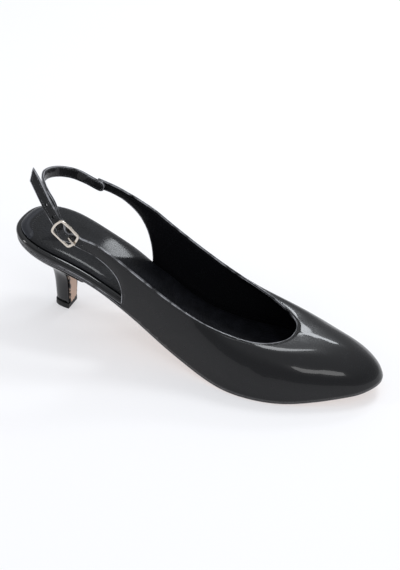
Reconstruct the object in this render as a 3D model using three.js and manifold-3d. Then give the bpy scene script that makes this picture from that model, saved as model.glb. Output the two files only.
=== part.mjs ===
// Slingback court shoe for the right foot, with a covered heel and a buckled back strap.
// Millimetres: Y runs from the back of the seat to the toe, X to the outer side, Z up from the floor.
import * as THREE from "three";
import { mergeVertices } from "three/addons/utils/BufferGeometryUtils.js";
import Module from "manifold-3d";

const wasm = await Module();
wasm.setup();

// Sizes of the last and the sole
const shoeLength = 246;
const ballWidth = 75;
const waistWidth = 51;
const seatWidth = 54.7;
const seatRound = 30;
const seatFullness = 0.37;
const toeRound = 14;
const toeFullness = 0.5;
const seatHeight = 55;
const toeSpring = 8;
const outsoleThickness = 2.2;
const boardSeatThickness = 4.4;
const boardForeThickness = 2.2;
const outsoleSeatInset = 0.5;
const outsoleForeOverhang = 0.2;
const outsoleRound = 0.5;
const boardLedge = 2.8;
const sockSeatInset = 3.4;
const sockForeInset = 1.1;
const sockEdgeThickness = 1.1;
const sockPadThickness = 1.3;
const sockPadInset = 6.5;
const clearance = 0.3;

// Sizes of the heel
const breastSet = 36;
const heelWing = 21;
const heelWingCurve = 2.4;
const heelEdgeInset = 1.2;
const heelBackInset = 1.4;
const heelBackFullness = 2.6;
const topPieceDepth = 10.6;
const topPieceWidth = 11.4;
const topPieceThickness = 4.2;
const topPieceSet = 24.9;
const topPieceStep = 0.5;
const topPieceRound = 0.5;
const breastThickness = 0.8;
const breastMargin = 1.1;

// Sizes of the upper
const upperWall = 1.5;
const upperOverhang = 0.8;
const toeAllowance = 2;
const quarterSet = 82;
const quarterLead = 8;
const quarterRun = 20;
const wallRun = 6;
const quarterTopSet = 92;
const throatSet = 188;
const throatHeight = 31.5;
const collarHalfOuter = 28;
const collarHalfInner = 26;
const innerTabSet = 40;
const innerTabHeight = 82.8;
const innerTabSlope = 14;
const innerTabWidth = 6.8;

// Sizes of the back strap, its tab and the buckle
const strapWidth = 7;
const strapThickness = 1.2;
const strapLean = 0.06;
const strapOverlap = 6;
const slingThickness = 1.6;
const slingSpread = 50;
const slingSet = 17.5;
const slingHeight = 95.5;
const slingDip = 1.3;
const slingEndRound = 3;
const buckleOut = 28.8;
const buckleSet = 45;
const buckleHeight = 76;
const buckleSlope = 36;
const buckleLength = 17.6;
const buckleWidth = 12.6;
const buckleThickness = 1.2;
const buckleRail = 1.5;
const buckleEndBow = 1.1;
const buckleCorner = 2.2;
const buckleWindowCorner = 1.4;
const buckleBevel = 0.25;
const barRadius = 0.6;
const barDrop = 1;
const lugLength = 1.6;
const foldThickness = 1.1;
const tabLead = 10.5;
const tabSlope = 20;
const tailLength = 37;
const tailSlope = 54;
const tailInward = 6;
const tailCut = 6;
const tailCutRun = 10;
const holeRadius = 1;
const holePitch = 8;
const holeBehindBar = 12.2;
const holeBeyondBuckle = 3.4;
const prongRadius = 0.6;
const prongLift = 0.9;
const prongEyeWidth = 1.4;
const prongEyeWall = 0.85;

// Half widths of the plan outline as shares of a named width, and how far it leans to the outer side
const planRows = [
  { along: 0, width: seatWidth, half: 0.5, lean: 0 },
  { along: 0.122, width: seatWidth, half: 0.5, lean: 0 },
  { along: 0.244, width: waistWidth, half: 0.502, lean: 0.009 },
  { along: 0.366, width: waistWidth, half: 0.51, lean: 0.01 },
  { along: 0.488, width: ballWidth, half: 0.382, lean: 0.016 },
  { along: 0.61, width: ballWidth, half: 0.466, lean: 0.014 },
  { along: 0.671, width: ballWidth, half: 0.497, lean: 0.01 },
  { along: 0.715, width: ballWidth, half: 0.5, lean: 0 },
  { along: 0.78, width: ballWidth, half: 0.474, lean: -0.022 },
  { along: 0.86, width: ballWidth, half: 0.388, lean: -0.048 },
  { along: 0.92, width: ballWidth, half: 0.296, lean: -0.067 },
  { along: 0.97, width: ballWidth, half: 0.215, lean: -0.083 },
  { along: 1, width: ballWidth, half: 0.165, lean: -0.092 },
];

// Underside of the sole: shares of the seat height and of the toe spring
const soleRows = [
  { along: 0, rise: 1, spring: 0 },
  { along: 0.122, rise: 0.887, spring: 0 },
  { along: 0.244, rise: 0.727, spring: 0 },
  { along: 0.366, rise: 0.462, spring: 0 },
  { along: 0.427, rise: 0.308, spring: 0 },
  { along: 0.488, rise: 0.174, spring: 0 },
  { along: 0.549, rise: 0.076, spring: 0 },
  { along: 0.61, rise: 0.014, spring: 0 },
  { along: 0.645, rise: 0, spring: 0 },
  { along: 0.76, rise: 0, spring: 0 },
  { along: 0.87, rise: 0, spring: 0.34 },
  { along: 1, rise: 0, spring: 1 },
];

// Topline from the throat to the end of the quarter: shares of its run, its half width and its rise
const outerTopRows = [
  { back: 0, out: 0, up: 0 },
  { back: 0.011, out: 0.3, up: 0 },
  { back: 0.056, out: 0.58, up: 0.01 },
  { back: 0.133, out: 0.81, up: 0.035 },
  { back: 0.244, out: 0.95, up: 0.095 },
  { back: 0.393, out: 1.01, up: 0.2 },
  { back: 0.54, out: 1.01, up: 0.37 },
  { back: 0.693, out: 1, up: 0.61 },
  { back: 0.79, out: 1, up: 0.78 },
  { back: 0.864, out: 1, up: 0.905 },
  { back: 0.936, out: 1, up: 0.985 },
];
const innerTopRows = [
  { back: 0, out: 0, up: 0 },
  { back: 0.01, out: 0.3, up: 0 },
  { back: 0.054, out: 0.6, up: 0.01 },
  { back: 0.122, out: 0.85, up: 0.045 },
  { back: 0.223, out: 1, up: 0.12 },
  { back: 0.358, out: 1.06, up: 0.245 },
  { back: 0.493, out: 1.05, up: 0.42 },
  { back: 0.649, out: 1.01, up: 0.66 },
  { back: 0.721, out: 1, up: 0.775 },
  { back: 0.793, out: 1, up: 0.857 },
  { back: 0.854, out: 1, up: 0.912 },
  { back: 0.914, out: 1, up: 0.96 },
];

// Free rear edge of each quarter, from its foot to its tab: shares of its run and of its rise
const outerRearRows = [
  { back: 0, up: 0 },
  { back: -0.02, up: 0.1 },
  { back: 0, up: 0.41 },
  { back: 0.12, up: 0.63 },
  { back: 0.32, up: 0.79 },
  { back: 0.61, up: 0.92 },
];
const innerRearRows = [
  { back: 0, up: 0 },
  { back: 0.012, up: 0.145 },
  { back: 0.052, up: 0.347 },
  { back: 0.123, up: 0.54 },
  { back: 0.242, up: 0.72 },
  { back: 0.393, up: 0.843 },
  { back: 0.575, up: 0.936 },
  { back: 0.795, up: 0.985 },
];

// How round the wall is from its foot to the topline, from the toe to the quarter's end
const wallRows = [
  { share: 0, round: 0.86, swell: 0 },
  { share: 0.25, round: 0.84, swell: 0.3 },
  { share: 0.5, round: 0.62, swell: 0.6 },
  { share: 0.75, round: 0.35, swell: 0.9 },
  { share: 1, round: 0.15, swell: 0.8 },
];

// Route of the back strap behind the buckle: shares of its half spread, its run and its rise
const slingRows = [
  { out: 0.87, along: 0.58, up: 0.56 },
  { out: 0.76, along: 0.36, up: 0.95 },
  { out: 0.44, along: 0.12, up: 1.08 },
  { out: 0, along: 0, up: 1 },
  { out: -0.48, along: 0.08, up: 0.82 },
  { out: -0.8, along: 0.31, up: 0.63 },
];

// How the heel widens from the top piece to the seat, by height
const flareRows = [
  { up: 0, flare: 0, wing: 0 },
  { up: 0.2, flare: 0.025, wing: 0 },
  { up: 0.35, flare: 0.05, wing: 0 },
  { up: 0.45, flare: 0.085, wing: 0 },
  { up: 0.53, flare: 0.13, wing: 0 },
  { up: 0.61, flare: 0.21, wing: 0 },
  { up: 0.7, flare: 0.36, wing: 0 },
  { up: 0.79, flare: 0.56, wing: 0 },
  { up: 0.87, flare: 0.76, wing: 0 },
  { up: 0.94, flare: 0.93, wing: 0.06 },
  { up: 1, flare: 1, wing: 1 },
];

const radians = THREE.MathUtils.degToRad;
const mix = THREE.MathUtils.lerp;
const clamp = THREE.MathUtils.clamp;
const point = (x, y, z) => new THREE.Vector3(x, y, z);

// A smooth curve through rows, which never overshoots between two of them.
function rowCurve(xs, values) {
  const last = xs.length - 1;
  const slope = (i) => (values[i + 1] - values[i]) / (xs[i + 1] - xs[i]);
  const tangents = xs.map((_, i) => {
    if (i === 0) return slope(0);
    if (i === last) return slope(last - 1);
    const before = slope(i - 1);
    const after = slope(i);
    return before * after <= 0 ? 0 : (2 * before * after) / (before + after);
  });
  return (x) => {
    let i = 0;
    while (i < last - 1 && x > xs[i + 1]) i++;
    const width = xs[i + 1] - xs[i];
    const t = clamp((x - xs[i]) / width, 0, 1);
    const rest = 1 - t;
    const ends = values[i] * (1 + 2 * t) * rest * rest + values[i + 1] * t * t * (3 - 2 * t);
    return ends + width * t * rest * (tangents[i] * rest - tangents[i + 1] * t);
  };
}

const planAt = planRows.map((row) => row.along * shoeLength);
const halfWidth = rowCurve(planAt, planRows.map((row) => row.half * row.width));
const lean = rowCurve(planAt, planRows.map((row) => row.lean * row.width));
const soleAt = soleRows.map((row) => row.along * shoeLength);
const soleUnder = rowCurve(soleAt, soleRows.map((row) => row.rise * seatHeight + row.spring * toeSpring));
const wallRound = rowCurve(wallRows.map((row) => row.share), wallRows.map((row) => row.round));
const wallSwell = rowCurve(wallRows.map((row) => row.share), wallRows.map((row) => row.swell));
const flareAt = flareRows.map((row) => row.up);
const heelFlare = rowCurve(flareAt, flareRows.map((row) => row.flare));
const heelWingShare = rowCurve(flareAt, flareRows.map((row) => row.wing));

// How far the outline is drawn in by the round ends of the seat and the toe, as a share of its half width.
function endRounding(y) {
  const rear = clamp(1 - y / seatRound, 0, 1);
  const front = clamp((y - shoeLength + toeRound) / toeRound, 0, 1);
  return (1 - rear * rear) ** seatFullness * (1 - front * front) ** toeFullness;
}

// Plan outline of the last: side is 1 on the outer side and -1 on the inner side.
function outline(side, y) {
  return point(lean(y) + side * halfWidth(y) * endRounding(y), y, 0);
}

// Stations from the back of the seat to the toe, closer where the ends turn round.
function stations() {
  const rearSteps = 9;
  const middleSteps = 24;
  const toeSteps = 6;
  const ys = [];
  for (let i = 0; i < rearSteps; i++) ys.push(seatRound * (1 - Math.cos((i / rearSteps) * Math.PI * 0.5)));
  for (let i = 0; i < middleSteps; i++) ys.push(mix(seatRound, shoeLength - toeRound, i / middleSteps));
  for (let i = 0; i <= toeSteps; i++) {
    ys.push(shoeLength - toeRound * (1 - Math.sin((i / toeSteps) * Math.PI * 0.5)));
  }
  return ys;
}

// The outline as one closed ring: back point, outer side, toe point, inner side.
function outlineRing() {
  const ys = stations();
  const inside = ys.slice(1, -1);
  return [
    outline(1, ys[0]),
    ...inside.map((y) => outline(1, y)),
    outline(1, shoeLength),
    ...inside.reverse().map((y) => outline(-1, y)),
  ];
}

// A ring drawn in by an inset that may change along the shoe.
function insetRing(ring, inset) {
  return ring.map((p, i) => {
    const before = ring[(i + ring.length - 1) % ring.length];
    const after = ring[(i + 1) % ring.length];
    const along = after.clone().sub(before).normalize();
    return point(p.x - along.y * inset(p.y), p.y + along.x * inset(p.y), 0);
  });
}

// An indexed geometry from points and faces, turned to face outwards.
function geometryOf(points, triangles) {
  const volume = triangles.reduce((sum, [a, b, c]) => {
    return sum + points[a].dot(points[b].clone().cross(points[c]));
  }, 0);
  const facing = volume < 0 ? triangles.map(([a, b, c]) => [a, c, b]) : triangles;
  const geometry = new THREE.BufferGeometry();
  geometry.setAttribute("position", new THREE.Float32BufferAttribute(points.flatMap((p) => p.toArray()), 3));
  geometry.setIndex(facing.flat());
  return geometry;
}

// A closed solid from equal rings, one above the other, capped by rungs between its two sides.
function ringSolid(rings) {
  const count = rings[0].length;
  const half = count / 2;
  const triangles = [];
  const quad = (a, b, c, d) => triangles.push([a, b, c], [a, c, d]);
  for (let k = 0; k + 1 < rings.length; k++) {
    for (let i = 0; i < count; i++) {
      const j = (i + 1) % count;
      quad(k * count + i, k * count + j, (k + 1) * count + j, (k + 1) * count + i);
    }
  }
  const cap = (start, flip) => {
    const face = (...ids) => triangles.push(flip ? ids.reverse() : ids);
    face(start, start + count - 1, start + 1);
    for (let i = 1; i < half - 1; i++) {
      const [a, b, c, d] = [i, i + 1, count - i - 1, count - i].map((id) => start + id);
      face(a, d, c);
      face(a, c, b);
    }
    face(start + half - 1, start + half + 1, start + half);
  };
  cap(0, false);
  cap((rings.length - 1) * count, true);
  return geometryOf(rings.flat(), triangles);
}

// A layer of the sole: rows give how far each ring is drawn in and its height above a level.
function layer(level, inset, rows) {
  const ring = outlineRing();
  return ringSolid(
    rows.map((row) =>
      insetRing(ring, (y) => inset(y) + row.inset).map((p) => point(p.x, p.y, level(p.y) + row.up(p.y))),
    ),
  );
}

function material(color, roughness, metalness) {
  return new THREE.MeshStandardMaterial({ color, roughness, metalness });
}

// Levels of the layers, each a clearance above the one below
const outsoleTop = (y) => soleUnder(y) + outsoleThickness;
const boardUnder = (y) => outsoleTop(y) + clearance;
const featherLevel = boardUnder;
const smooth = (share) => THREE.MathUtils.smoothstep(share, 0, 1);
const boardDepth = (y) => {
  const taperRun = 0.4 * (throatSet - quarterSet);
  return mix(boardSeatThickness, boardForeThickness, smooth((y - quarterSet) / taperRun));
};
const boardTop = (y) => boardUnder(y) + boardDepth(y);
const sockUnder = (y) => boardTop(y) + clearance;

// The board steps in where the wall of the upper stands beside it.
function boardInset(y) {
  const beside = smooth((y - quarterSet + quarterLead) / wallRun);
  const fore = smooth((y - quarterSet) / (throatSet - quarterSet));
  return (upperWall - upperOverhang + clearance) * beside + toeAllowance * fore;
}

function outsoleSolid() {
  const edge = (y) => {
    const share = clamp((y - quarterSet + quarterLead) / quarterRun, 0, 1);
    return mix(outsoleSeatInset, -outsoleForeOverhang, share);
  };
  return layer(soleUnder, edge, [
    { inset: 3 * outsoleRound, up: () => 0 },
    { inset: outsoleRound, up: () => 0.3 * outsoleRound },
    { inset: 0, up: () => 1.2 * outsoleRound },
    { inset: 0, up: () => outsoleThickness - outsoleRound },
    { inset: 0.4 * outsoleRound, up: () => outsoleThickness },
  ]);
}

function boardSolid() {
  return layer(boardUnder, boardInset, [
    { inset: 0.3 * boardLedge, up: () => 0 },
    { inset: 0.06 * boardLedge, up: (y) => 0.14 * boardDepth(y) },
    { inset: 0, up: (y) => 0.36 * boardDepth(y) },
    { inset: 0.03 * boardLedge, up: (y) => 0.6 * boardDepth(y) },
    { inset: 0.25 * boardLedge, up: (y) => 0.84 * boardDepth(y) },
    { inset: 0.6 * boardLedge, up: (y) => 0.97 * boardDepth(y) },
    { inset: boardLedge, up: (y) => boardDepth(y) },
  ]);
}

// The sock leaves a ledge of the wrapped board open at the seat, and fills the shoe in front.
function sockInset(y) {
  return boardInset(y) + mix(sockSeatInset, sockForeInset, smooth((y - quarterSet) / quarterRun));
}

function sockSolid() {
  return layer(sockUnder, sockInset, [
    { inset: 0, up: () => 0 },
    { inset: 0, up: () => 0.55 * sockEdgeThickness },
    { inset: 0.55 * sockEdgeThickness, up: () => sockEdgeThickness },
    { inset: 0.4 * sockPadInset, up: () => sockEdgeThickness + 0.55 * sockPadThickness },
    { inset: sockPadInset, up: () => sockEdgeThickness + sockPadThickness },
  ]);
}

// A place on the heel: reach runs from its back to its breast, across from the breast's middle to its corner.
function heelPlace(side, reach, across, share, base) {
  const round = (1 - (1 - reach) ** heelBackFullness) ** (1 / heelBackFullness);
  const low = point((topPieceWidth / 2) * round, mix(topPieceSet, topPieceSet + topPieceDepth, reach), 0);
  const seatY = mix(heelBackInset, breastSet, reach);
  const seatX = Math.max(Math.abs(outline(side, seatY).x) - heelEdgeInset, 0);
  const place = low.lerp(point(seatX, seatY, 0), heelFlare(share));
  const wing = reach < 1 ? 0 : heelWing * heelWingShare(share) * across ** heelWingCurve;
  const top = soleUnder(seatY + wing) - clearance;
  return point(side * across * place.x, place.y + wing, mix(base, top, share));
}

// Plan of the heel at a height: a round back and a breast, which fans out to the seat and its wings.
function heelRing(share, base) {
  const backSteps = 16;
  const breastSteps = 8;
  const half = (side) => {
    const places = [];
    for (let i = 1; i < backSteps; i++) {
      places.push(heelPlace(side, 1 - Math.cos((i / backSteps) * Math.PI * 0.5), 1, share, base));
    }
    for (let i = 0; i < breastSteps; i++) places.push(heelPlace(side, 1, 1 - i / breastSteps, share, base));
    return places;
  };
  return [heelPlace(1, 0, 1, share, base), ...half(1), heelPlace(1, 1, 0, share, base), ...half(-1).reverse()];
}

function heelSolid() {
  const base = topPieceThickness + clearance;
  const shares = [0, 0.18, 0.32, 0.43, 0.51, 0.58, 0.65, 0.72, 0.79, 0.86, 0.92, 0.96, 0.985, 1];
  return ringSolid(shares.map((share) => heelRing(share, base)));
}

// The top piece: a block under the heel, a little larger all round than the heel's end.
function topPieceSolid() {
  const ring = heelRing(0, 0);
  const centre = point(0, topPieceSet + topPieceDepth / 2, 0);
  const grown = (by, z) =>
    ring.map((p) => {
      const scaleX = 1 + by / (topPieceWidth / 2);
      const scaleY = 1 + by / (topPieceDepth / 2);
      return point(p.x * scaleX, centre.y + (p.y - centre.y) * scaleY, z);
    });
  return ringSolid([
    grown(topPieceStep - topPieceRound, 0),
    grown(topPieceStep, topPieceRound),
    grown(topPieceStep, topPieceThickness - 0.6 * topPieceRound),
    grown(topPieceStep - 0.6 * topPieceRound, topPieceThickness),
  ]);
}

// The facing of the breast: a thin sheet on the front of the heel, inside the turned edges of its cover.
function breastSolid() {
  const rows = [0, 0.12, 0.24, 0.36, 0.46, 0.55, 0.63, 0.7, 0.76, 0.82, 0.87];
  const acrossSteps = 6;
  const base = topPieceThickness + clearance;
  const frontBottom = topPieceSet + topPieceDepth;
  const points = [];
  const triangles = [];
  const layers = [clearance, clearance + breastThickness];
  for (const forward of layers) {
    for (const share of rows) {
      const flare = heelFlare(share);
      const edge = mix(topPieceWidth / 2, outline(1, breastSet).x - heelEdgeInset, flare) - breastMargin;
      for (let i = 0; i <= acrossSteps; i++) {
        const y = mix(frontBottom, breastSet, flare) + forward;
        const z = mix(base, soleUnder(breastSet) - clearance, share);
        points.push(point(mix(-edge, edge, i / acrossSteps), y, z));
      }
    }
  }
  const columns = acrossSteps + 1;
  closeSheet(triangles, rows.length, columns, rows.length * columns);
  return geometryOf(points, triangles);
}

// Faces of a sheet with two sides: a grid of rows and columns, its copy at an offset, and its rims.
function closeSheet(triangles, rows, columns, offset) {
  const quad = (a, b, c, d) => triangles.push([a, b, c], [a, c, d]);
  const at = (row, column) => row * columns + column;
  for (let row = 0; row + 1 < rows; row++) {
    for (let column = 0; column + 1 < columns; column++) {
      const [a, b] = [at(row, column), at(row, column + 1)];
      const [c, d] = [at(row + 1, column + 1), at(row + 1, column)];
      quad(a, b, c, d);
      quad(d + offset, c + offset, b + offset, a + offset);
    }
  }
  for (let row = 0; row + 1 < rows; row++) {
    const [a, b] = [at(row, 0), at(row + 1, 0)];
    const [c, d] = [at(row, columns - 1), at(row + 1, columns - 1)];
    quad(a, b, b + offset, a + offset);
    quad(d, c, c + offset, d + offset);
  }
  for (let column = 0; column + 1 < columns; column++) {
    const [a, b] = [at(0, column), at(0, column + 1)];
    const [c, d] = [at(rows - 1, column), at(rows - 1, column + 1)];
    quad(b, a, a + offset, b + offset);
    quad(c, d, d + offset, c + offset);
  }
}

// The strap's place at a distance along it from the buckle's bar, towards the toe when positive.
const slopeAt = rowCurve(
  [-tailLength, -0.6 * tailLength, 0, tabLead],
  [tailSlope, tailSlope - 1, buckleSlope, tabSlope],
);
const inwardAt = rowCurve([-tailLength, -tailLength / 2, 0, tabLead], [tailInward, 0.4 * tailInward, 0, 0.4]);

function strapFrame(distance) {
  const steps = 24;
  const centre = point(buckleOut, buckleSet, buckleHeight);
  for (let i = 0; i < steps; i++) {
    const slope = radians(slopeAt((distance * (i + 0.5)) / steps));
    centre.y += (Math.cos(slope) * distance) / steps;
    centre.z -= (Math.sin(slope) * distance) / steps;
  }
  centre.x -= inwardAt(distance);
  const small = 0.5;
  const turn = (inwardAt(distance - small) - inwardAt(distance + small)) / (2 * small);
  const slope = radians(slopeAt(distance));
  const along = point(turn, Math.cos(slope), -Math.sin(slope)).normalize();
  const up = point(-strapLean, Math.sin(slope), Math.cos(slope)).normalize();
  const out = along.clone().cross(up).normalize();
  return { centre, along, up, out };
}

// A place by the buckle: toward the toe, across the strap, and out from the foot.
const buckleFrame = strapFrame(0);
function byBuckle(along, across, outward) {
  return buckleFrame.centre
    .clone()
    .addScaledVector(buckleFrame.along, along)
    .addScaledVector(buckleFrame.up, across)
    .addScaledVector(buckleFrame.out, outward);
}

// The tab dives under the two end bars and rides over the middle bar with its fold.
const endBar = buckleLength / 2 - buckleRail / 2;
const foldOuter = barRadius + clearance + foldThickness;
const crest = foldOuter - barDrop + clearance + strapThickness / 2;
const trough = -buckleThickness / 2 - clearance - strapThickness / 2;
function strapWave(distance) {
  const flat = 0.4;
  const reach = endBar - buckleRail / 2 - buckleEndBow;
  const share = clamp((Math.abs(distance) - flat) / (reach - flat), 0, 1);
  return mix(crest, trough, 0.5 - 0.5 * Math.cos(Math.PI * share));
}

function strapEdge(distance, across) {
  const frame = strapFrame(distance);
  const outerFace = strapWave(distance) + strapThickness / 2;
  return frame.centre.addScaledVector(frame.up, across).addScaledVector(frame.out, outerFace);
}

// Place where the inner quarter's tab ends, with its top and its foot.
function innerTabEdge(across) {
  const slope = radians(innerTabSlope);
  const up = point(0, Math.sin(slope), Math.cos(slope));
  return point(-collarHalfInner, innerTabSet, innerTabHeight).addScaledVector(up, across);
}

const collarHalf = (side) => (side > 0 ? collarHalfOuter : collarHalfInner);
const quarterEnd = (side, share) =>
  side > 0 ? strapEdge(tabLead, share * (strapWidth / 2)) : innerTabEdge(share * (innerTabWidth / 2));

// Topline of one side, from the throat to the top of its tab.
function topline(side) {
  const rows = side > 0 ? outerTopRows : innerTopRows;
  const end = quarterEnd(side, 1);
  const places = rows.map((row) => {
    const y = mix(throatSet, end.y, row.back);
    const centre = lean(y) * (1 - clamp(row.back / 0.3, 0, 1));
    return point(centre + side * collarHalf(side) * row.out, y, mix(throatHeight, end.z, row.up));
  });
  return new THREE.CatmullRomCurve3([...places, end]);
}

// Foot of the wall on the feather line, a little outside the outline.
function feather(side, y) {
  const ring = [outline(side, y - 0.01), outline(side, Math.min(y + 0.01, shoeLength))];
  const along = ring[1].clone().sub(ring[0]).normalize();
  const normal = y > shoeLength - 0.02 ? point(0, 1, 0) : point(side * along.y, -side * along.x, 0);
  const p = outline(side, y).addScaledVector(normal, upperOverhang);
  return point(p.x, p.y, featherLevel(y));
}

function featherCurve(side) {
  const toeSteps = 10;
  const restSteps = 20;
  const ys = [];
  for (let i = 0; i < toeSteps; i++) {
    ys.push(shoeLength - toeRound * (1 - Math.cos((i / toeSteps) * Math.PI * 0.5)));
  }
  for (let i = 0; i <= restSteps; i++) ys.push(mix(shoeLength - toeRound, quarterSet, i / restSteps));
  return new THREE.CatmullRomCurve3(ys.map((y) => feather(side, y)), false, "centripetal");
}

// Free rear edge of one quarter, from its foot to the foot of its tab.
function rearEdge(side) {
  const rows = side > 0 ? outerRearRows : innerRearRows;
  const start = feather(side, quarterSet);
  const end = quarterEnd(side, -1);
  const places = rows.map((row) => {
    const spread = 1 - (1 - clamp(row.up / 0.8, 0, 1)) ** 2;
    return point(mix(start.x, end.x, spread), mix(start.y, end.y, row.back), mix(start.z, end.z, row.up));
  });
  return new THREE.CatmullRomCurve3([...places, end]);
}

// Share of a curve's length at which it reaches a distance from the back of the seat.
function shareAt(curve, y) {
  let [near, far] = [0, 1];
  for (let i = 0; i < 30; i++) {
    const middle = (near + far) / 2;
    if (curve.getPointAt(middle).y > y) near = middle;
    else far = middle;
  }
  return near;
}

// Columns of one side of the upper: each runs from the foot of the wall to the topline.
function sideColumns(side) {
  const vampSteps = 26;
  const quarterSteps = 14;
  const foot = featherCurve(side);
  const top = topline(side);
  const rear = rearEdge(side);
  const turn = shareAt(top, quarterTopSet);
  const columns = [];
  for (let i = 0; i <= vampSteps; i++) {
    const share = i / vampSteps;
    const low = foot.getPointAt(share);
    const high = top.getPointAt(turn * share ** 1.25);
    const outward = point(low.x - high.x, low.y - high.y, 0).normalize();
    const sideways = clamp(share / 0.5, 0, 1);
    outward.lerp(point(side, 0, 0), sideways).normalize();
    const [round, swell] = [wallRound(share), wallSwell(share)];
    columns.push({ low, high, outward, round, swell, wall: upperWall, cutFlat: true });
  }
  for (let i = 1; i <= quarterSteps; i++) {
    const share = i / quarterSteps;
    const low = rear.getPointAt(share);
    const high = top.getPointAt(mix(turn, 1, share));
    const fade = 1 - share;
    const wall = side > 0 ? mix(upperWall, strapThickness, share ** 2) : upperWall;
    columns.push({
      low,
      high,
      outward: point(side, 0, 0),
      round: wallRound(1) * fade,
      swell: wallSwell(1) * fade,
      wall,
    });
  }
  return columns;
}

// The outer tab beyond the quarter: through the buckle and on to its slanting end.
function tabColumns() {
  const waveStep = 0.9;
  const tailStep = 2.6;
  const columns = [];
  const wave = endBar + buckleRail;
  let distance = tabLead;
  while (distance > -tailLength) {
    distance -= Math.abs(distance) < wave ? waveStep : Math.min(tailStep, Math.abs(distance) - wave + waveStep);
    distance = Math.max(distance, -tailLength);
    const slant = tailCut * clamp(1 - (tailLength + distance) / tailCutRun, 0, 1);
    columns.push({
      low: strapEdge(distance, -strapWidth / 2),
      high: strapEdge(distance - slant, strapWidth / 2),
      outward: point(1, 0, 0),
      round: 0,
      swell: 0,
      wall: strapThickness,
    });
  }
  return columns;
}

// The point of a column at a share of its height.
function columnPoint(column, share) {
  const angle = share * Math.PI * 0.5;
  const inwards = mix(share, 1 - Math.cos(angle) ** 0.9, column.round);
  const upwards = mix(share, Math.sin(angle) ** 0.95, column.round);
  const p = column.low.clone().lerp(column.high, inwards);
  p.z = mix(column.low.z, column.high.z, upwards);
  return p.addScaledVector(column.outward, column.swell * Math.sin(Math.PI * share) ** 1.2);
}

// The whole upper as one wall: tab, outer quarter, vamp, inner quarter.
function upperSolid() {
  const rowSteps = 8;
  const outer = sideColumns(1);
  const inner = sideColumns(-1).slice(1);
  const columns = [...[...outer, ...tabColumns()].reverse(), ...inner];
  const outside = columns.map((column) => {
    const places = [];
    for (let i = 0; i <= rowSteps; i++) places.push(columnPoint(column, i / rowSteps));
    return places;
  });
  const inside = outside.map((places, k) =>
    places.map((p, i) => {
      const before = outside[Math.max(k - 1, 0)][i];
      const after = outside[Math.min(k + 1, outside.length - 1)][i];
      const below = places[Math.max(i - 1, 0)];
      const above = places[Math.min(i + 1, rowSteps)];
      const normal = after.clone().sub(before).cross(above.clone().sub(below));
      if (i === 0 && columns[k].cutFlat) normal.z = 0;
      normal.normalize();
      return p.clone().addScaledVector(normal, -columns[k].wall);
    }),
  );
  const triangles = [];
  closeSheet(triangles, columns.length, rowSteps + 1, columns.length * (rowSteps + 1));
  return geometryOf([...outside.flat(), ...inside.flat()], triangles);
}

// A closed geometry as a solid for cutting and joining, and back
function solidOf(geometry) {
  geometry.deleteAttribute("normal");
  geometry.deleteAttribute("uv");
  const merged = mergeVertices(geometry, 1e-4);
  const vertProperties = new Float32Array(merged.getAttribute("position").array);
  const triVerts = new Uint32Array(merged.index.array);
  return new wasm.Manifold(new wasm.Mesh({ numProp: 3, vertProperties, triVerts }));
}

function meshGeometry(solid) {
  const mesh = solid.getMesh();
  const geometry = new THREE.BufferGeometry();
  geometry.setAttribute("position", new THREE.Float32BufferAttribute(mesh.vertProperties, 3));
  geometry.setIndex([...mesh.triVerts]);
  return geometry;
}

// Turns a geometry made flat into the buckle's place: X along the strap, Y across it, Z out.
function placedByBuckle(geometry) {
  const basis = new THREE.Matrix4().makeBasis(buckleFrame.along, buckleFrame.up, buckleFrame.out);
  return geometry.applyMatrix4(basis.setPosition(buckleFrame.centre));
}

// A round tube with closed ends along a few places.
function tube(places, radius, sides, steps) {
  const circle = new THREE.Shape();
  circle.absarc(0, 0, radius, 0, Math.PI * 2);
  const path = new THREE.CatmullRomCurve3(places);
  return new THREE.ExtrudeGeometry(circle, {
    steps,
    curveSegments: sides / 2,
    bevelEnabled: false,
    extrudePath: path,
  });
}

// The path of the buckle's prong: from the bar, through the tab, to rest on the end bar.
function prongPath() {
  const rest = buckleThickness / 2 + clearance + prongRadius;
  return [
    point(barRadius + clearance + 0.6 * prongRadius, 0, prongLift - barDrop),
    point(0.45 * endBar, 0, mix(prongLift - barDrop, rest, 0.5)),
    point(0.8 * endBar, 0, rest),
    point(endBar + 1.5 * prongRadius, 0, rest),
  ];
}

function prongSolid() {
  const eye = new THREE.Shape();
  eye.absarc(0, 0, barRadius + clearance + prongEyeWall, 0, Math.PI * 2);
  const bore = new THREE.Path();
  bore.absarc(0, 0, barRadius + clearance, 0, Math.PI * 2, true);
  eye.holes.push(bore);
  const ring = new THREE.ExtrudeGeometry(eye, { depth: prongEyeWidth, bevelEnabled: false, curveSegments: 9 });
  ring.translate(0, 0, -prongEyeWidth / 2);
  ring.rotateX(Math.PI / 2);
  ring.translate(0, 0, -barDrop);
  const stem = tube(prongPath(), prongRadius, 12, 12);
  return placedByBuckle(meshGeometry(solidOf(ring).add(solidOf(stem))));
}

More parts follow.
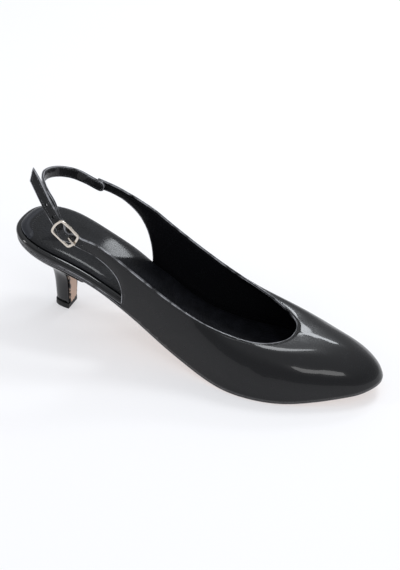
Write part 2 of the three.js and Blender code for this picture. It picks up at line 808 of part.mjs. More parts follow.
// The buckle's frame: two rails and two bowed ends, with a lower bar across its middle.
function buckleSolid() {
  const bevel = buckleBevel;
  const outer = new THREE.Shape();
  const [halfLong, halfWide] = [buckleLength / 2 - bevel, buckleWidth / 2 - bevel];
  traceFrame(outer, halfLong, halfWide, buckleEndBow, buckleCorner);
  const window = new THREE.Path();
  const rim = buckleRail - 2 * bevel;
  traceFrame(window, halfLong - rim, halfWide - rim, buckleEndBow, buckleWindowCorner);
  outer.holes.push(window);
  const frame = new THREE.ExtrudeGeometry(outer, {
    depth: buckleThickness - 2 * bevel,
    bevelEnabled: true,
    bevelSize: bevel,
    bevelThickness: bevel,
    bevelSegments: 2,
    curveSegments: 4,
  });
  frame.translate(0, 0, -buckleThickness / 2 + bevel);
  const reach = buckleWidth / 2 - buckleRail / 2;
  const bar = new THREE.CylinderGeometry(barRadius, barRadius, 2 * reach, 14);
  bar.translate(0, 0, -barDrop);
  const lugs = [-1, 1].map((side) => {
    const lug = new THREE.BoxGeometry(lugLength, 0.9 * buckleRail, barDrop + barRadius);
    lug.translate(0, side * reach, -(barDrop + barRadius) / 2);
    return solidOf(lug);
  });
  const joined = lugs.reduce((solid, lug) => solid.add(lug), solidOf(frame).add(solidOf(bar)));
  return placedByBuckle(meshGeometry(joined));
}

// A rounded frame outline whose two short ends bow outwards.
function traceFrame(path, halfLong, halfWide, bow, corner) {
  const flat = halfLong - bow;
  path.moveTo(-flat + corner, -halfWide);
  path.lineTo(flat - corner, -halfWide);
  path.quadraticCurveTo(flat, -halfWide, flat + bow * 0.25, -halfWide + corner);
  path.quadraticCurveTo(halfLong + bow * 0.25, 0, flat + bow * 0.25, halfWide - corner);
  path.quadraticCurveTo(flat, halfWide, flat - corner, halfWide);
  path.lineTo(-flat + corner, halfWide);
  path.quadraticCurveTo(-flat, halfWide, -flat - bow * 0.25, halfWide - corner);
  path.quadraticCurveTo(-halfLong - bow * 0.25, 0, -flat - bow * 0.25, -halfWide + corner);
  path.quadraticCurveTo(-flat, -halfWide, -flat + corner, -halfWide);
}

// The upper with the prong's slit and the punched holes of its tab.
function punchedUpper() {
  let solid = solidOf(upperSolid());
  const slit = placedByBuckle(tube(prongPath(), prongRadius + clearance, 12, 12));
  solid = solid.subtract(solidOf(slit));
  for (const distance of [-holeBehindBar - holePitch, -holeBehindBar, endBar + holeBeyondBuckle]) {
    const frame = strapFrame(distance);
    const punch = new THREE.CylinderGeometry(holeRadius, holeRadius, 4 * strapThickness, 12);
    punch.rotateX(Math.PI / 2);
    punch.applyMatrix4(new THREE.Matrix4().makeBasis(frame.along, frame.up, frame.out));
    const centre = strapEdge(distance, 0);
    punch.translate(centre.x, centre.y, centre.z);
    solid = solid.subtract(solidOf(punch));
  }
  return meshGeometry(solid);
}

// Centre line of the back strap: from the fold at the buckle round the heel to the inner tab.
function slingPlaces() {
  const under = -barDrop - barRadius - clearance - slingThickness / 2;
  const besideTab = trough - strapThickness / 2 - clearance - slingThickness / 2;
  const tabInside = collarHalfInner - upperWall - clearance - slingThickness / 2;
  const slope = radians(innerTabSlope);
  const tabPlace = (forward) =>
    point(-tabInside, innerTabSet + forward, innerTabHeight - Math.tan(slope) * forward);
  return [
    byBuckle(0, 0, under),
    byBuckle(-0.55 * endBar, 0, mix(under, besideTab - slingDip, 0.5)),
    byBuckle(-1.15 * endBar, 0, besideTab - slingDip),
    ...slingRows.map((row) =>
      point(
        row.out * (slingSpread / 2),
        mix(slingSet, buckleSet, row.along),
        mix(buckleHeight, slingHeight, row.up),
      ),
    ),
    tabPlace(-1.3 * strapOverlap).add(point(-clearance, 0, 0)),
    tabPlace(0),
    tabPlace(strapOverlap),
  ];
}

// A strap as one closed band along its centre line, standing on edge.
function slingSolid() {
  const steps = 76;
  const curve = new THREE.CatmullRomCurve3(slingPlaces());
  const length = curve.getLength();
  const corners = [
    [-0.5, -0.5],
    [-0.5, 0.5],
    [0.5, 0.5],
    [0.5, -0.5],
  ];
  const points = [];
  for (let i = 0; i <= steps; i++) {
    const share = i / steps;
    const centre = curve.getPointAt(share);
    const along = curve.getTangentAt(share);
    const turned = clamp(1 - (length * (1 - share)) / slingEndRound, 0, 1);
    const width = strapWidth * Math.sqrt(1 - 0.7 * turned * turned);
    const upright = buckleFrame.up.clone().lerp(point(0, 0, 1), clamp(share / 0.3, 0, 1));
    const across = upright.addScaledVector(along, -upright.dot(along)).normalize();
    const outward = across.clone().cross(along).normalize();
    for (const [wide, thick] of corners) {
      points.push(
        centre
          .clone()
          .addScaledVector(across, wide * width)
          .addScaledVector(outward, thick * slingThickness),
      );
    }
  }
  const triangles = [];
  for (let i = 0; i < steps; i++) {
    for (let k = 0; k < 4; k++) {
      const [a, b] = [4 * i + k, 4 * i + ((k + 1) % 4)];
      triangles.push([a, b, b + 4], [a, b + 4, a + 4]);
    }
  }
  const end = 4 * steps;
  triangles.push([0, 2, 1], [0, 3, 2], [end, end + 1, end + 2], [end, end + 2, end + 3]);
  const band = solidOf(geometryOf(points, triangles));
  return meshGeometry(band.add(solidOf(foldSolid())).subtract(solidOf(prongSlot())));
}

// The fold of the back strap round the buckle's bar.
function foldSolid() {
  const ring = new THREE.Shape();
  ring.absarc(0, 0, foldOuter, 0, Math.PI * 2);
  const bore = new THREE.Path();
  bore.absarc(0, 0, barRadius + clearance, 0, Math.PI * 2, true);
  ring.holes.push(bore);
  const fold = new THREE.ExtrudeGeometry(ring, { depth: strapWidth, bevelEnabled: false, curveSegments: 12 });
  fold.translate(0, 0, -strapWidth / 2);
  fold.rotateX(Math.PI / 2);
  fold.translate(0, 0, -barDrop);
  return placedByBuckle(fold);
}

// The slot in the fold where the prong's eye sits.
function prongSlot() {
  const across = 2 * (foldOuter + clearance);
  const slot = new THREE.BoxGeometry(across + 2 * clearance, prongEyeWidth + 2 * clearance, across);
  slot.translate(clearance, 0, clearance - barDrop);
  return placedByBuckle(slot);
}

// Colours of the leathers and the plated metal
const patentBlack = 0x101114;
const wrapBlack = 0x16171a;
const sockBlack = 0x1d1f24;
const soleTan = 0xc9a68c;
const nude = 0xcdb4a5;
const champagne = 0xd9cdbd;

const shoe = new THREE.Group();
const last = new THREE.Group();
shoe.add(last);

function addPiece(name, geometry, look) {
  const mesh = new THREE.Mesh(geometry, look);
  mesh.name = name;
  last.add(mesh);
}

addPiece("outsole", outsoleSolid(), material(soleTan, 0.55, 0));
addPiece("insole_board", boardSolid(), material(wrapBlack, 0.2, 0));
addPiece("sock", sockSolid(), material(sockBlack, 0.5, 0));
addPiece("heel_block", heelSolid(), material(wrapBlack, 0.3, 0));
addPiece("breast_strip", breastSolid(), material(nude, 0.55, 0));
addPiece("top_piece", topPieceSolid(), material(wrapBlack, 0.5, 0));
addPiece("upper", punchedUpper(), material(patentBlack, 0.15, 0));
addPiece("sling_strap", slingSolid(), material(patentBlack, 0.35, 0));
addPiece("buckle_frame", buckleSolid(), material(champagne, 0.2, 1));
addPiece("buckle_prong", prongSolid(), material(champagne, 0.2, 1));

// The shoe's own frame starts under the middle of its box.
const box = new THREE.Box3().setFromObject(last);
const centre = box.getCenter(point(0, 0, 0));
last.position.set(-centre.x, -centre.y, -box.min.z);

export default shoe;
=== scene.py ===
import math

import bmesh
import bpy
from mathutils import Matrix, Vector
from mathutils.bvhtree import BVHTree
from mathutils.kdtree import KDTree


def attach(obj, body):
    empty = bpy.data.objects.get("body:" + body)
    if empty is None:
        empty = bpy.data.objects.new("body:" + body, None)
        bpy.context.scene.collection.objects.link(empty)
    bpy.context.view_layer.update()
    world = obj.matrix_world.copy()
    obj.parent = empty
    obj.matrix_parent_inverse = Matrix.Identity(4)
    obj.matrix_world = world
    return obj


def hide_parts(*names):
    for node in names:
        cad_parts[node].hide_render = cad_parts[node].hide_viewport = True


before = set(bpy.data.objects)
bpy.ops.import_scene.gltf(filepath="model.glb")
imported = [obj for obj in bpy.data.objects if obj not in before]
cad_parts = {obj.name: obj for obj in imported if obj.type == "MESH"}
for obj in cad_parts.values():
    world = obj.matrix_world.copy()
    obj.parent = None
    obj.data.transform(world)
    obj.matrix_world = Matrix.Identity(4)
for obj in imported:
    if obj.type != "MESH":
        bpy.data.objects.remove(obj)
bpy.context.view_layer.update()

# Insole board: a moulded fibre board that carries the whole shoe. Its edge is wrapped in
# black patent leather, pulled tight round it and cemented underneath, so the edge is one
# smooth glossy roll, and a ledge of it shows round the sock at the seat.

MM = 0.001


class Level:
    """A value in a finish. Arithmetic on it adds Math nodes."""

    def __init__(self, finish, socket):
        self.finish, self.socket = finish, socket

    def math(self, operation, *values):
        return self.finish.add("ShaderNodeMath", {"operation": operation}, values)

    def __add__(self, other):
        return self.math("ADD", self, other)

    def __radd__(self, other):
        return self.math("ADD", other, self)

    def __sub__(self, other):
        return self.math("SUBTRACT", self, other)

    def __rsub__(self, other):
        return self.math("SUBTRACT", other, self)

    def __mul__(self, other):
        return self.math("MULTIPLY", self, other)

    def __rmul__(self, other):
        return self.math("MULTIPLY", other, self)

    def __truediv__(self, other):
        return self.math("DIVIDE", self, other)

    def __rtruediv__(self, other):
        return self.math("DIVIDE", other, self)

    def over(self, low, high):
        """0 below low, 1 above high, and a smooth step between them."""
        return self.finish.add("ShaderNodeMapRange", {"interpolation_type": "SMOOTHSTEP"},
                               {0: self, 1: low, 2: high, 3: 0.0, 4: 1.0})

    def line(self, middle, half):
        """1 on a line at middle, falling to 0 at half from it."""
        return 1.0 - self.math("ABSOLUTE", self - middle).over(0.0, half)


class Web:
    """The nodes of a finish, or of the sky."""

    def __init__(self, owner):
        owner.use_nodes = True
        self.tree = owner.node_tree

    def add(self, kind, settings, values, output=0):
        """Adds one node: its type, its settings, and the values or links of its sockets."""
        node = self.tree.nodes.new(kind)
        for setting, value in settings.items():
            setattr(node, setting, value)
        for socket, value in values.items() if isinstance(values, dict) else enumerate(values):
            if isinstance(value, Level):
                self.tree.links.new(value.socket, node.inputs[socket])
            else:
                node.inputs[socket].default_value = value
        return Level(self, node.outputs[output])

    def split(self, vector, axis):
        """One of the three numbers of a vector."""
        return self.add("ShaderNodeSeparateXYZ", {}, {0: vector}, axis)


class Finish(Web):
    """One finish of the shoe: a Principled shader and the nodes that vary it."""

    def __init__(self, name, colour, roughness, **constants):
        self.material = bpy.data.materials.new(name)
        super().__init__(self.material)
        self.shader = self.tree.nodes["Principled BSDF"]
        self.shader.inputs["Base Color"].default_value = (*colour, 1.0)
        self.shader.inputs["Roughness"].default_value = roughness
        for socket, value in constants.items():
            self.shader.inputs[socket.replace("_", " ")].default_value = value

    def place(self):
        return self.add("ShaderNodeTexCoord", {}, {}, "Object")

    def marked(self, name):
        """The value that the piece's mesh carries under this name."""
        return self.add("ShaderNodeAttribute", {"attribute_name": name}, {}, "Fac")

    def mottle(self, size, detail=2.0, roughness=0.5):
        """Soft noise about a half, its blotches about this size in metres."""
        return self.add("ShaderNodeTexNoise", {}, {
            "Vector": self.place(), "Scale": 1 / size, "Detail": detail, "Roughness": roughness})

    def pebbles(self, size):
        """Distance to the nearest pebble's middle, the pebbles about this size in metres."""
        return self.add("ShaderNodeTexVoronoi", {}, {"Vector": self.place(), "Scale": 1 / size})

    def tint(self, share, first, second):
        """A colour between two colours."""
        pair = [c if isinstance(c, Level) else (*c, 1.0) for c in (first, second)]
        return self.add("ShaderNodeMix", {"data_type": "RGBA"}, {0: share, 6: pair[0], 7: pair[1]}, 2)

    def feed(self, socket, value):
        self.tree.links.new(value.socket, self.shader.inputs[socket])

    def relief(self, height, depth):
        """Bumps the surface by a height, which stands depth metres proud where it is 1."""
        self.feed("Normal", self.add("ShaderNodeBump", {}, {"Height": height, "Distance": depth}))


def settled(mesh, name):
    """A smooth-shaded object for a mesh that is already in its place."""
    for polygon in mesh.polygons:
        polygon.use_smooth = True
    piece = bpy.data.objects.new(name, mesh)
    bpy.context.scene.collection.objects.link(piece)
    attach(piece, "root")
    return piece


def merged(node):
    """A solid's mesh with its loose triangles joined at their corners."""
    form = bmesh.new()
    form.from_mesh(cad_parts[node].data)
    bmesh.ops.remove_doubles(form, verts=form.verts, dist=0.002 * MM)
    form.verts.index_update()
    return form


def sharp(edge, fold=38.0):
    return len(edge.link_faces) == 2 and edge.calc_face_angle(0.0) > math.radians(fold)


def lasted(node, name, crease=0.75, levels=2):
    """A copy of a solid's mesh with its rims creased, rounded as leather on a last is."""
    form = merged(node)
    bmesh.ops.join_triangles(form, faces=form.faces, angle_face_threshold=math.radians(35),
                             angle_shape_threshold=math.radians(60), cmp_seam=False)
    creased = form.edges.layers.float.new("crease_edge")
    for edge in form.edges:
        edge[creased] = crease if sharp(edge) else 0.0
    raw = bpy.data.objects.new(name + "_raw", bpy.data.meshes.new(name + "_raw"))
    form.to_mesh(raw.data)
    form.free()
    bpy.context.scene.collection.objects.link(raw)
    rounding = raw.modifiers.new("rounding", "SUBSURF")
    rounding.levels = rounding.render_levels = levels
    rounded = bpy.data.meshes.new_from_object(raw.evaluated_get(bpy.context.evaluated_depsgraph_get()))
    bpy.data.objects.remove(raw)
    rounded.name = name
    return settled(rounded, name)


def clad(piece, finish, slot, *nodes):
    """Gives a piece its finish, and hides the solids that it stands for."""
    piece.data.materials.clear()
    piece.data.materials.append(finish.material)
    if nodes:
        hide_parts(*nodes)


def edge_routes(node, wanted, fewest=60):
    """Ordered runs along a solid's long sharp edges, where wanted(face, middle of the edge) is
    true of a face beside them. Each place is a point and the way from the edge onto that face.
    Runs of fewer close points, such as the rims of holes, are left out."""
    form = merged(node)
    ways = {}
    for edge in filter(sharp, form.edges):
        start, end = edge.verts
        middle = (start.co + end.co) / 2
        along = (end.co - start.co).normalized()
        for face in edge.link_faces:
            if wanted(face, middle):
                onto = face.calc_center_median() - middle
                onto = (onto - along * onto.dot(along)).normalized()
                ways.setdefault(start.index, {})[end.index] = onto
                ways.setdefault(end.index, {})[start.index] = onto
                break
    points = {vertex.index: vertex.co.copy() for vertex in form.verts if vertex.index in ways}
    form.free()
    routes = []
    for first in sorted(ways, key=lambda index: (len(ways[index]) != 1, index)):
        here, route = first, []
        while ways.get(here):
            there = min(ways[here])
            onto = ways[here].pop(there)
            ways[there].pop(here, None)
            route.append((points[here], onto))
            here = there
        if route:
            routes.append(route + [(points[here], route[-1][1])])
    return [route for route in routes if len(edge_points([route])) > fewest]


def edge_points(routes, step=0.5 * MM):
    """Close points all along some routes."""
    points = []
    for route in routes:
        for (start, _), (end, _) in zip(route, route[1:]):
            count = max(1, int((end - start).length / step))
            points += [start.lerp(end, k / count) for k in range(count)]
    return points


def near(points):
    """A search tree over points."""
    tree = KDTree(len(points))
    for index, point in enumerate(points):
        tree.insert(point, index)
    tree.balance()
    return tree


def write(piece, name, value):
    """Writes a value for each vertex on the mesh, which a finish reads by its name."""
    layer = piece.data.attributes.new(name, "FLOAT", "POINT")
    for vertex in piece.data.vertices:
        layer.data[vertex.index].value = value(vertex)


def mark(piece, name, points):
    """Writes each vertex's distance to the nearest of the points, in millimetres."""
    tree = near(points)
    write(piece, name, lambda vertex: tree.find(vertex.co)[2] / MM)


def rims(piece, node):
    """Marks how far each vertex is from the solid's sharp edges."""
    mark(piece, "rims", edge_points(edge_routes(node, lambda face, middle: True)))


LACQUER_BLACK = (0.0045, 0.0047, 0.0058)
SCUFFED_BLACK = (0.0085, 0.0089, 0.011)
LACQUER_COAT = 0.38


def patent(name, roughness=0.24, coat=LACQUER_COAT, pale=(0.36, 0.365, 0.39)):
    """Black patent leather: a smooth lacquer over leather, finely scuffed, with a pale highlight painted
    along its rims in mottled patches.
    """
    finish = Finish(name, LACQUER_BLACK, roughness, Coat_Weight=coat, Coat_Roughness=0.05,
                    Specular_IOR_Level=0.14)
    scuff = finish.mottle(5 * MM, 6.0, 0.65).over(0.55, 0.75)
    black = finish.tint(0.5 * scuff, LACQUER_BLACK, SCUFFED_BLACK)
    # Painted highlight: near the rims the black is tinted towards the pale colour, in mottled patches.
    rim_highlight = (1.0 - finish.marked("rims").over(0.25, 0.7)) * finish.mottle(7 * MM, 4.0).over(0.3, 0.62)
    finish.feed("Base Color", finish.tint(rim_highlight, black, pale))
    finish.feed("Roughness", roughness + 0.1 * scuff + 0.04 * finish.mottle(1.1 * MM, 3.0))
    return finish


def lacquer(finish):
    """The faint wave and the skin of a lacquered surface."""
    return 0.7 * finish.mottle(14 * MM, 1.0) + 0.04 * finish.mottle(1.1 * MM, 3.0)


board_wrap = lasted("insole_board", "board_wrap")
rims(board_wrap, "insole_board")
wrap_patent = patent("wrap_patent", roughness=0.12, coat=0.6)
wrap_patent.relief(lacquer(wrap_patent), 0.06 * MM)
clad(board_wrap, wrap_patent, "wrapped_edge", "insole_board")

# Sock: a thin padded leather insole, cut to the board and cemented on it. Its middle is
# pebbled leather with a sewn ring and a pressed oval at the heel, and its rim is a smooth
# roll in which the light lies.


def tree_of(mesh):
    """A search tree over a mesh's faces."""
    corners = [vertex.co.copy() for vertex in mesh.vertices]
    return BVHTree.FromPolygons(corners, [tuple(polygon.vertices) for polygon in mesh.polygons])


def inside(route, inset, rounds=3):
    """A route moved onto its face by an inset, and evened out."""
    places = [point + onto * inset for point, onto in route]
    for _ in range(rounds):
        middles = [(a + b + b + c) / 4 for a, b, c in zip(places, places[1:], places[2:])]
        places = [places[0], *middles, places[-1]]
    return places


def sewn(name, lines, surface, pitch=1.7 * MM, length=1.25 * MM, thickness=0.36 * MM, sunk=0.04 * MM):
    """Lays a stitch every pitch along lines of points, each half sunk in the nearest surface."""
    tree = tree_of(surface.data)
    thread = bmesh.new()
    bmesh.ops.create_icosphere(thread, subdivisions=1, radius=1.0)
    stitch = bpy.data.meshes.new(name + "_stitch")
    thread.to_mesh(stitch)
    thread.clear()
    for line in lines:
        done, due = 0.0, pitch / 2
        for start, end in zip(line, line[1:]):
            span = (end - start).length
            while span > 0 and done + span >= due:
                spot, away, _, _ = tree.find_nearest(start.lerp(end, (due - done) / span))
                along = (end - start) - away * (end - start).dot(away)
                if along.length > 0:
                    along.normalize()
                    across = away.cross(along)
                    axes = Matrix((along * length / 2, across * thickness / 2, away * thickness / 2))
                    laid = stitch.copy()
                    laid.transform(Matrix.Translation(spot - away * sunk) @ axes.transposed().to_4x4())
                    thread.from_mesh(laid)
                    bpy.data.meshes.remove(laid)
                due += pitch
            done += span
    mesh = bpy.data.meshes.new(name)
    thread.to_mesh(mesh)
    thread.free()
    return settled(mesh, name)


TWIST = 0.25 * MM


def thread_finish(name, colour):
    """Waxed thread, its twist a fine ripple."""
    finish = Finish(name, colour, 0.42, Specular_IOR_Level=0.3)
    twist = finish.mottle(TWIST, 2.0)
    finish.feed("Roughness", 0.32 + 0.25 * twist)
    finish.relief(twist, 0.05 * MM)
    return finish


sock = lasted("sock", "sock_cover", crease=0.5, levels=3)
sock_rims = edge_routes("sock", lambda face, middle: face.normal.z > 0.8)
mark(sock, "inset", edge_points(sock_rims))
sock_band = 4.9
ring_inset = 7.5 * MM
ring_shift = Vector((1.5 * MM, 0, 0))
pad_seat = Vector((2.5 * MM, -98.5 * MM, 0))
pad_oval = (7.5 * MM, 9.5 * MM)
band_colour, sock_highlight_colour = (0.017, 0.0185, 0.0245), (0.10, 0.105, 0.12)
sock_leather = Finish("sock_leather", band_colour, 0.42, Coat_Weight=0.28, Coat_Roughness=0.1,
                      Specular_IOR_Level=0.1)
inset = sock_leather.marked("inset")
pad = inset.over(sock_band, sock_band + 1.0)
grain = sock_leather.pebbles(1.15 * MM)
fine = sock_leather.mottle(0.4 * MM, 2.0)
worn = sock_leather.mottle(9 * MM, 4.0, 0.6)
seat = sock_leather.add("ShaderNodeMapping", {"vector_type": "TEXTURE"}, {
    "Vector": sock_leather.place(), "Location": pad_seat, "Scale": (*pad_oval, 1.0)})
flat = sock_leather.add("ShaderNodeVectorMath", {"operation": "MULTIPLY"}, {0: seat, 1: (1.0, 1.0, 0.0)})
reach = sock_leather.add("ShaderNodeVectorMath", {"operation": "LENGTH"}, {0: flat}, "Value")
pressed = 1.0 - reach.over(0.85, 1.1)
roll = inset.line(2.6, 2.5)
pebbled = pad * (1.3 - 1.6 * grain + 0.3 * fine)
sock_leather.relief(pebbled - 0.35 * pressed + 0.2 * (1.0 - pad) * fine + 3.4 * roll, 0.2 * MM)
sock_leather.feed("Roughness", 0.24 + 0.16 * pad + 0.1 * worn)
pad_colour = sock_leather.tint(worn.over(0.35, 0.75), (0.0038, 0.0042, 0.0056), (0.0090, 0.0098, 0.0130))
# Painted highlight: pale lines at the sock's edge and, faintly, at the inner border of its smooth band.
rim = inset.line(0.2, 0.5) + 0.15 * inset.line(sock_band, 0.5)
plain = sock_leather.tint(pad, band_colour, pad_colour)
sock_leather.feed("Base Color", sock_leather.tint(0.7 * rim, plain, sock_highlight_colour))
clad(sock, sock_leather, "sock_leather", "sock")

sock_lines = [[place + ring_shift for place in inside(route, ring_inset, 12)] for route in sock_rims]
sock_sewing = sewn("sock_sewing", sock_lines, sock, pitch=2.0 * MM, length=1.3 * MM, thickness=0.42 * MM)
sock_thread = thread_finish("sock_thread", (0.05, 0.052, 0.06))
twist = sock_thread.mottle(TWIST, 2.0)
sock_thread.feed("Base Color", sock_thread.tint(twist, (0.03, 0.0312, 0.036), (0.075, 0.078, 0.09)))
clad(sock_sewing, sock_thread, "sock_leather")

# Upper: the vamp and both quarters are one piece of black patent leather, lined, drawn
# over the last and cemented under the board. The outer quarter runs on into the strap
# that passes through the buckle. Every free edge is folded in, and sewn beside the fold.

SEAM = 1.6
TOE_CORE = 85 * MM


def core(point, rise=0.75):
    """The place inside the foot that a point of the upper is round."""
    return Vector((0.0, min(point.y, TOE_CORE), rise * point.z))


def facing(face):
    """How squarely a face of the upper looks away from the foot, from -1 to 1."""
    middle = face.calc_center_median()
    return face.normal.dot((middle - core(middle)).normalized())


def wall_of(node, deepest=3 * MM):
    """A test that tells the broad faces of a thin wall from its rims: it is shallow under them."""
    tree = tree_of(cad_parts[node].data)

    def broad(face):
        start = face.calc_center_median() - 0.02 * MM * face.normal
        return tree.ray_cast(start, -face.normal, deepest)[0] is not None

    return broad


def free_wall(face, middle):
    """True of the upper's broad faces by the edges that stand clear of the sole."""
    return upper_wall(face) and sole_tree.find_nearest(middle)[3] > 5 * MM


def press(piece, route, depth, width):
    """Presses a soft trough of a depth and a width along a route, or a ridge where depth is negative."""
    points = [Vector(place) * MM for place in route]
    steps = []
    for start, end in zip(points, points[1:]):
        steps += [start.lerp(end, k / 12) for k in range(12)]
    tree = near(steps)
    for vertex in piece.data.vertices:
        _, index, distance = tree.find(vertex.co)
        share = distance / (width * MM)
        if share < 3 and vertex.normal.dot(vertex.co - core(vertex.co, 0.0)) > 0:
            fade = math.sin(math.pi * (index + 0.5) / len(steps))
            vertex.co -= vertex.normal * depth * MM * math.exp(-share * share) * fade


sole_tree = tree_of(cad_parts["outsole"].data)
upper = lasted("upper", "upper_skin", crease=0.8)
upper_wall = wall_of("upper")
outer_edges = edge_routes("upper", lambda face, middle: facing(face) > 0 and free_wall(face, middle))
inner_edges = edge_routes("upper", lambda face, middle: facing(face) < 0 and free_wall(face, middle))
mark(upper, "rims", edge_points(outer_edges + inner_edges))
write(upper, "lining", lambda vertex: 1.0 if vertex.normal.dot(vertex.co - core(vertex.co)) < 0 else 0.0)
vamp_creases = [
    ([(36, 40, 9), (35, 38, 16), (31, 36, 23)], 0.30, 2.2),
    ([(38, 48, 9), (36, 47, 16), (31, 46, 22), (24, 45, 27)], 0.35, 2.6),
    ([(37, 57, 9), (35, 57, 15), (30, 57, 21), (22, 58, 26)], -0.25, 2.6),
    ([(-34, 44, 9), (-33, 43, 16), (-29, 42, 22)], 0.35, 2.4),
    ([(-35, 53, 9), (-33, 53, 15), (-28, 53, 21), (-20, 54, 26)], 0.30, 2.6),
    ([(29, -30, 32), (29, -24, 38), (28, -16, 44)], 0.22, 2.4),
    ([(30, -12, 22), (31, -4, 28), (31, 6, 32)], -0.22, 3.0),
    ([(-16, 74, 25), (-4, 72, 29), (9, 73, 28)], 0.22, 3.2),
]
for route, depth, width in vamp_creases:
    press(upper, route, depth, width)

upper_patent = patent("upper_patent")
inset = upper_patent.marked("rims")
within = upper_patent.marked("lining")
groove = inset.line(SEAM, 0.45)
fold = 1.0 - inset.over(0.2, 1.3)
suede = upper_patent.mottle(0.5 * MM, 3.0)
on_strap = upper_patent.split(upper_patent.place(), 2).over(72 * MM, 82 * MM)
crinkle = upper_patent.mottle(2.6 * MM, 3.0)
skin = (1.0 - within) * (lacquer(upper_patent) + 2.6 * on_strap * crinkle) + 0.25 * within * suede
upper_patent.relief(skin - 1.3 * groove + 0.5 * fold, 0.14 * MM)
upper_patent.feed("Coat Weight", LACQUER_COAT - 0.32 * within - 0.15 * on_strap * (1.0 - within))
clad(upper, upper_patent, "upper_patent", "upper")

upper_sewing = sewn("upper_sewing", [inside(route, SEAM * MM) for route in outer_edges], upper)
upper_thread = thread_finish("upper_thread", (0.02, 0.021, 0.024))
up = upper_thread.split(upper_thread.place(), 2).over(66 * MM, 80 * MM)
glint = up * upper_thread.mottle(3 * MM).over(0.35, 0.6)
upper_thread.feed("Base Color", upper_thread.tint(glint, (0.012, 0.012, 0.014), (0.17, 0.175, 0.185)))
clad(upper_sewing, upper_thread, "upper_patent")

# Outsole: a thin leather sole, cemented under the board from the toe to the breast of the
# heel. It is tan underneath, and its edge is trimmed and painted black, with a pale highlight painted along
# its rims.

outsole = lasted("outsole", "sole_leather")
rims(outsole, "outsole")
sole_finish = Finish("sole_leather", (0.55, 0.38, 0.27), 0.5)
normal = sole_finish.add("ShaderNodeNewGeometry", {}, {}, "Normal")
below = (0.0 - sole_finish.split(normal, 2)).over(0.55, 0.8)
fibres = sole_finish.mottle(0.8 * MM, 5.0, 0.7)
stains = sole_finish.mottle(22 * MM, 4.0, 0.6)
tan = sole_finish.tint(stains.over(0.3, 0.8), (0.60, 0.43, 0.31), (0.47, 0.31, 0.21))
# Painted highlight: the black edge paint is tinted pale near the rims, broken up by the fibres.
rim_highlight = (1.0 - sole_finish.marked("rims").over(0.25, 0.6)) * fibres.over(0.3, 0.6)
paint = sole_finish.tint(rim_highlight, (0.006, 0.006, 0.007), (0.22, 0.22, 0.235))
sole_finish.feed("Base Color", sole_finish.tint(below, paint, tan))
sole_finish.feed("Roughness", 0.28 + below * (0.2 + 0.15 * fibres))
sole_finish.relief(fibres, 0.05 * MM)
clad(outsole, sole_finish, "outsole_leather", "outsole")

# Heel: a moulded block covered in black leather. The cover's two edges are turned in over
# the front of the heel, a little unevenly, and glued down beside the breast.

heel = lasted("heel_block", "heel_cover")
rims(heel, "heel_block")
heel_patent = patent("heel_patent", roughness=0.28, coat=0.6, pale=(0.03, 0.03, 0.033))
heel_patent.relief(lacquer(heel_patent), 0.12 * MM)
clad(heel, heel_patent, "heel_cover", "heel_block")

# Breast: a nude leather strip cemented on the front of the heel. The turned-in edges of the
# black cover lap over its sides, cut by hand and a little ragged.

breast = lasted("breast_strip", "breast_cover", levels=3)
mark(breast, "edge", edge_points(edge_routes("breast_strip", lambda face, middle: face.normal.y > 0.3)))
breast_leather = Finish("breast_leather", (0.62, 0.46, 0.37), 0.45, Specular_IOR_Level=0.25)
pores = breast_leather.mottle(0.6 * MM, 4.0)
tone = breast_leather.mottle(8 * MM, 3.0)
ragged = 5.5 * breast_leather.mottle(3.2 * MM, 5.0, 0.7) - 2.1
lapped = 1.0 - (breast_leather.marked("edge") - ragged).over(0.0, 0.12)
nude = breast_leather.tint(tone, (0.66, 0.50, 0.41), (0.55, 0.40, 0.31))
breast_leather.feed("Base Color", breast_leather.tint(lapped, nude, (0.006, 0.006, 0.007)))
breast_leather.feed("Roughness", 0.42 + 0.15 * pores - 0.15 * lapped)
breast_leather.relief(0.15 * pores + lapped, 0.3 * MM)
clad(breast, breast_leather, "breast_leather", "breast_strip")

# Top piece: the moulded black rubber tip that the shoe stands on, pushed and pinned into
# the bottom of the heel.

tip = lasted("top_piece", "heel_tip")
tip_rubber = Finish("tip_rubber", (0.007, 0.007, 0.008), 0.45, Specular_IOR_Level=0.3)
pores = tip_rubber.mottle(0.5 * MM, 4.0)
tip_rubber.feed("Roughness", 0.4 + 0.2 * pores)
tip_rubber.relief(pores, 0.04 * MM)
clad(tip, tip_rubber, "top_piece_rubber", "top_piece")

# Sling strap: a band of leather over elastic, from a tab sewn in the inner quarter round
# the back of the heel to the buckle. It is sewn along both edges, and where the elastic
# draws it together the leather is gathered in fine pleats.

SLING_SEAM = 1.2
ALONG_STEP = 0.2 * MM


def places_of(route, step=0.5 * MM):
    """Close points along a route given in millimetres."""
    return edge_points([[(Vector(place) * MM, None) for place in route]], step)


sling = lasted("sling_strap", "sling_cover", crease=0.8, levels=3)
sling_route = [
    (22.7, -89.4, 87.5), (18.9, -95.4, 95), (10.9, -102.4, 97.5), (-0.1, -105.9, 95.5),
    (-12.1, -103.9, 92), (-20.1, -97.4, 88.3), (-24.1, -89.4, 85.3), (-23.4, -81.4, 82.7),
]
sling_tree = near(places_of(sling_route, ALONG_STEP))
write(sling, "along", lambda vertex: sling_tree.find(vertex.co)[1] * ALONG_STEP / MM)
mark(sling, "gathered", places_of(sling_route[2:7]))
sling_wall = wall_of("sling_strap")
sling_edges = edge_routes("sling_strap", lambda face, middle: sling_wall(face))
mark(sling, "rims", edge_points(sling_edges))
sling_patent = patent("sling_patent", roughness=0.3, coat=0.4)
along = sling_patent.marked("along")
gather = 1.0 - sling_patent.marked("gathered").over(4.5, 7.0)
sway = sling_patent.mottle(3 * MM, 3.0)
turn = 4.6 * along + 5.0 * sway
pleats = turn.math("SINE", turn)
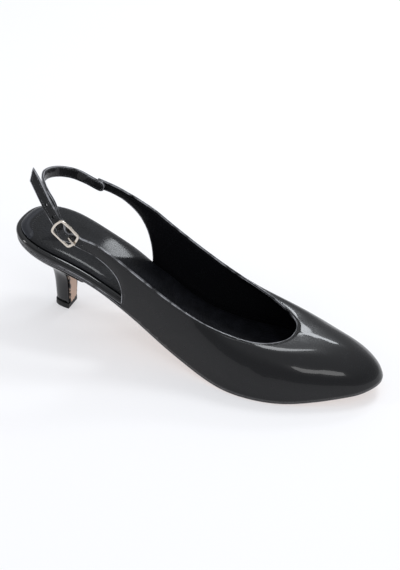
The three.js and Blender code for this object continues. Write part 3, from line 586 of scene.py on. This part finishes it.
grain = sling_patent.pebbles(0.9 * MM)
groove = sling_patent.marked("rims").line(SLING_SEAM, 0.4)
sling_patent.relief(lacquer(sling_patent) + gather * (0.45 * pleats - 0.9 * grain) - 0.9 * groove, 0.16 * MM)
clad(sling, sling_patent, "strap_leather", "sling_strap")

sling_sewing = sewn("sling_sewing", [inside(route, SLING_SEAM * MM, 1) for route in sling_edges], sling)
clad(sling_sewing, upper_thread, "strap_leather")

# Buckle: a cast frame with a wire prong bent round its bar. Both are plated a pale champagne
# and polished, and the plate is a little smeared from handling.

buckle_plate = Finish("buckle_plate", (0.80, 0.74, 0.66), 0.14, Metallic=1.0)
smear = buckle_plate.mottle(2.5 * MM, 5.0, 0.7)
buckle_plate.feed("Roughness", 0.1 + 0.14 * smear)
buckle_plate.feed("Base Color", buckle_plate.tint(smear, (0.74, 0.68, 0.61), (0.56, 0.50, 0.43)))
for node, name in (("buckle_frame", "buckle_rail"), ("buckle_prong", "buckle_pin")):
    clad(lasted(node, name, crease=0.0), buckle_plate, "buckle_metal", node)

# Floor, light and camera: a pale studio floor, soft light from above and from the far side,
# and the photograph's angle to the shoe.


def softbox(name, place, aim, size, power, tint=(1.0, 1.0, 1.0)):
    light = bpy.data.lights.new(name, "AREA")
    light.shape, light.size, light.size_y = "RECTANGLE", size[0], size[1]
    light.energy, light.color = power, tint
    lamp = bpy.data.objects.new(name, light)
    lamp.location = place
    lamp.rotation_mode = "QUATERNION"
    lamp.rotation_quaternion = (Vector(aim) - Vector(place)).to_track_quat("-Z", "Y")
    bpy.context.scene.collection.objects.link(lamp)


ground = bmesh.new()
bmesh.ops.create_grid(ground, x_segments=1, y_segments=1, size=30.0)
floor_mesh = bpy.data.meshes.new("floor")
ground.to_mesh(floor_mesh)
ground.free()
floor = bpy.data.objects.new("floor", floor_mesh)
bpy.context.scene.collection.objects.link(floor)
floor_glow = {"Emission_Color": (0.97, 0.97, 1.0, 1.0), "Emission_Strength": 0.45}
floor_finish = Finish("floor_finish", (0.52, 0.52, 0.525), 0.7, **floor_glow)
floor_mesh.materials.append(floor_finish.material)

world = bpy.data.worlds.new("studio")
sky = Web(world)
rise = sky.split(sky.add("ShaderNodeTexCoord", {}, {}, "Generated"), 2)
background = world.node_tree.nodes["Background"]
background.inputs["Color"].default_value = (0.95, 0.97, 1.0, 1.0)
glow = 0.52 + 0.36 * rise.over(0.35, 0.95)
sky.tree.links.new(glow.socket, background.inputs["Strength"])
bpy.context.scene.world = world
bpy.context.scene.view_settings.view_transform = "Standard"
softbox("overhead", (-0.62, 0.1, 1.15), (0.0, 0.0, 0.03), (0.4, 0.25), 4.0, (0.94, 0.97, 1.0))
softbox("far_window", (-1.0, 0.16, 0.83), (0.0, 0.0, 0.05), (0.3, 0.12), 2.0, (0.92, 0.96, 1.0))
softbox("front", (0.7, 1.0, 0.9), (0.0, 0.0, 0.03), (0.4, 0.3), 2.0)
softbox("back", (0.5, -0.9, 0.45), (0.0, 0.0, 0.03), (0.12, 0.5), 1.5)

camera_data = bpy.data.cameras.new("camera")
camera_data.lens, camera_data.sensor_width = 56.6, 36.0
camera_data.clip_start = 0.01
camera = bpy.data.objects.new("camera", camera_data)
sight = Vector((-0.7765, -0.2326, -0.5857)).normalized()
level = sight.cross(Vector((0, 0, 1))).normalized()
tilt = math.radians(6.13)
right = math.cos(tilt) * level + math.sin(tilt) * level.cross(sight)
up = right.cross(sight)
turned = Matrix((right, up, -sight)).transposed().to_4x4()
camera.matrix_world = Matrix.Translation((0.4345, 0.1306, 0.3733)) @ turned
bpy.context.scene.collection.objects.link(camera)
bpy.context.scene.camera = camera
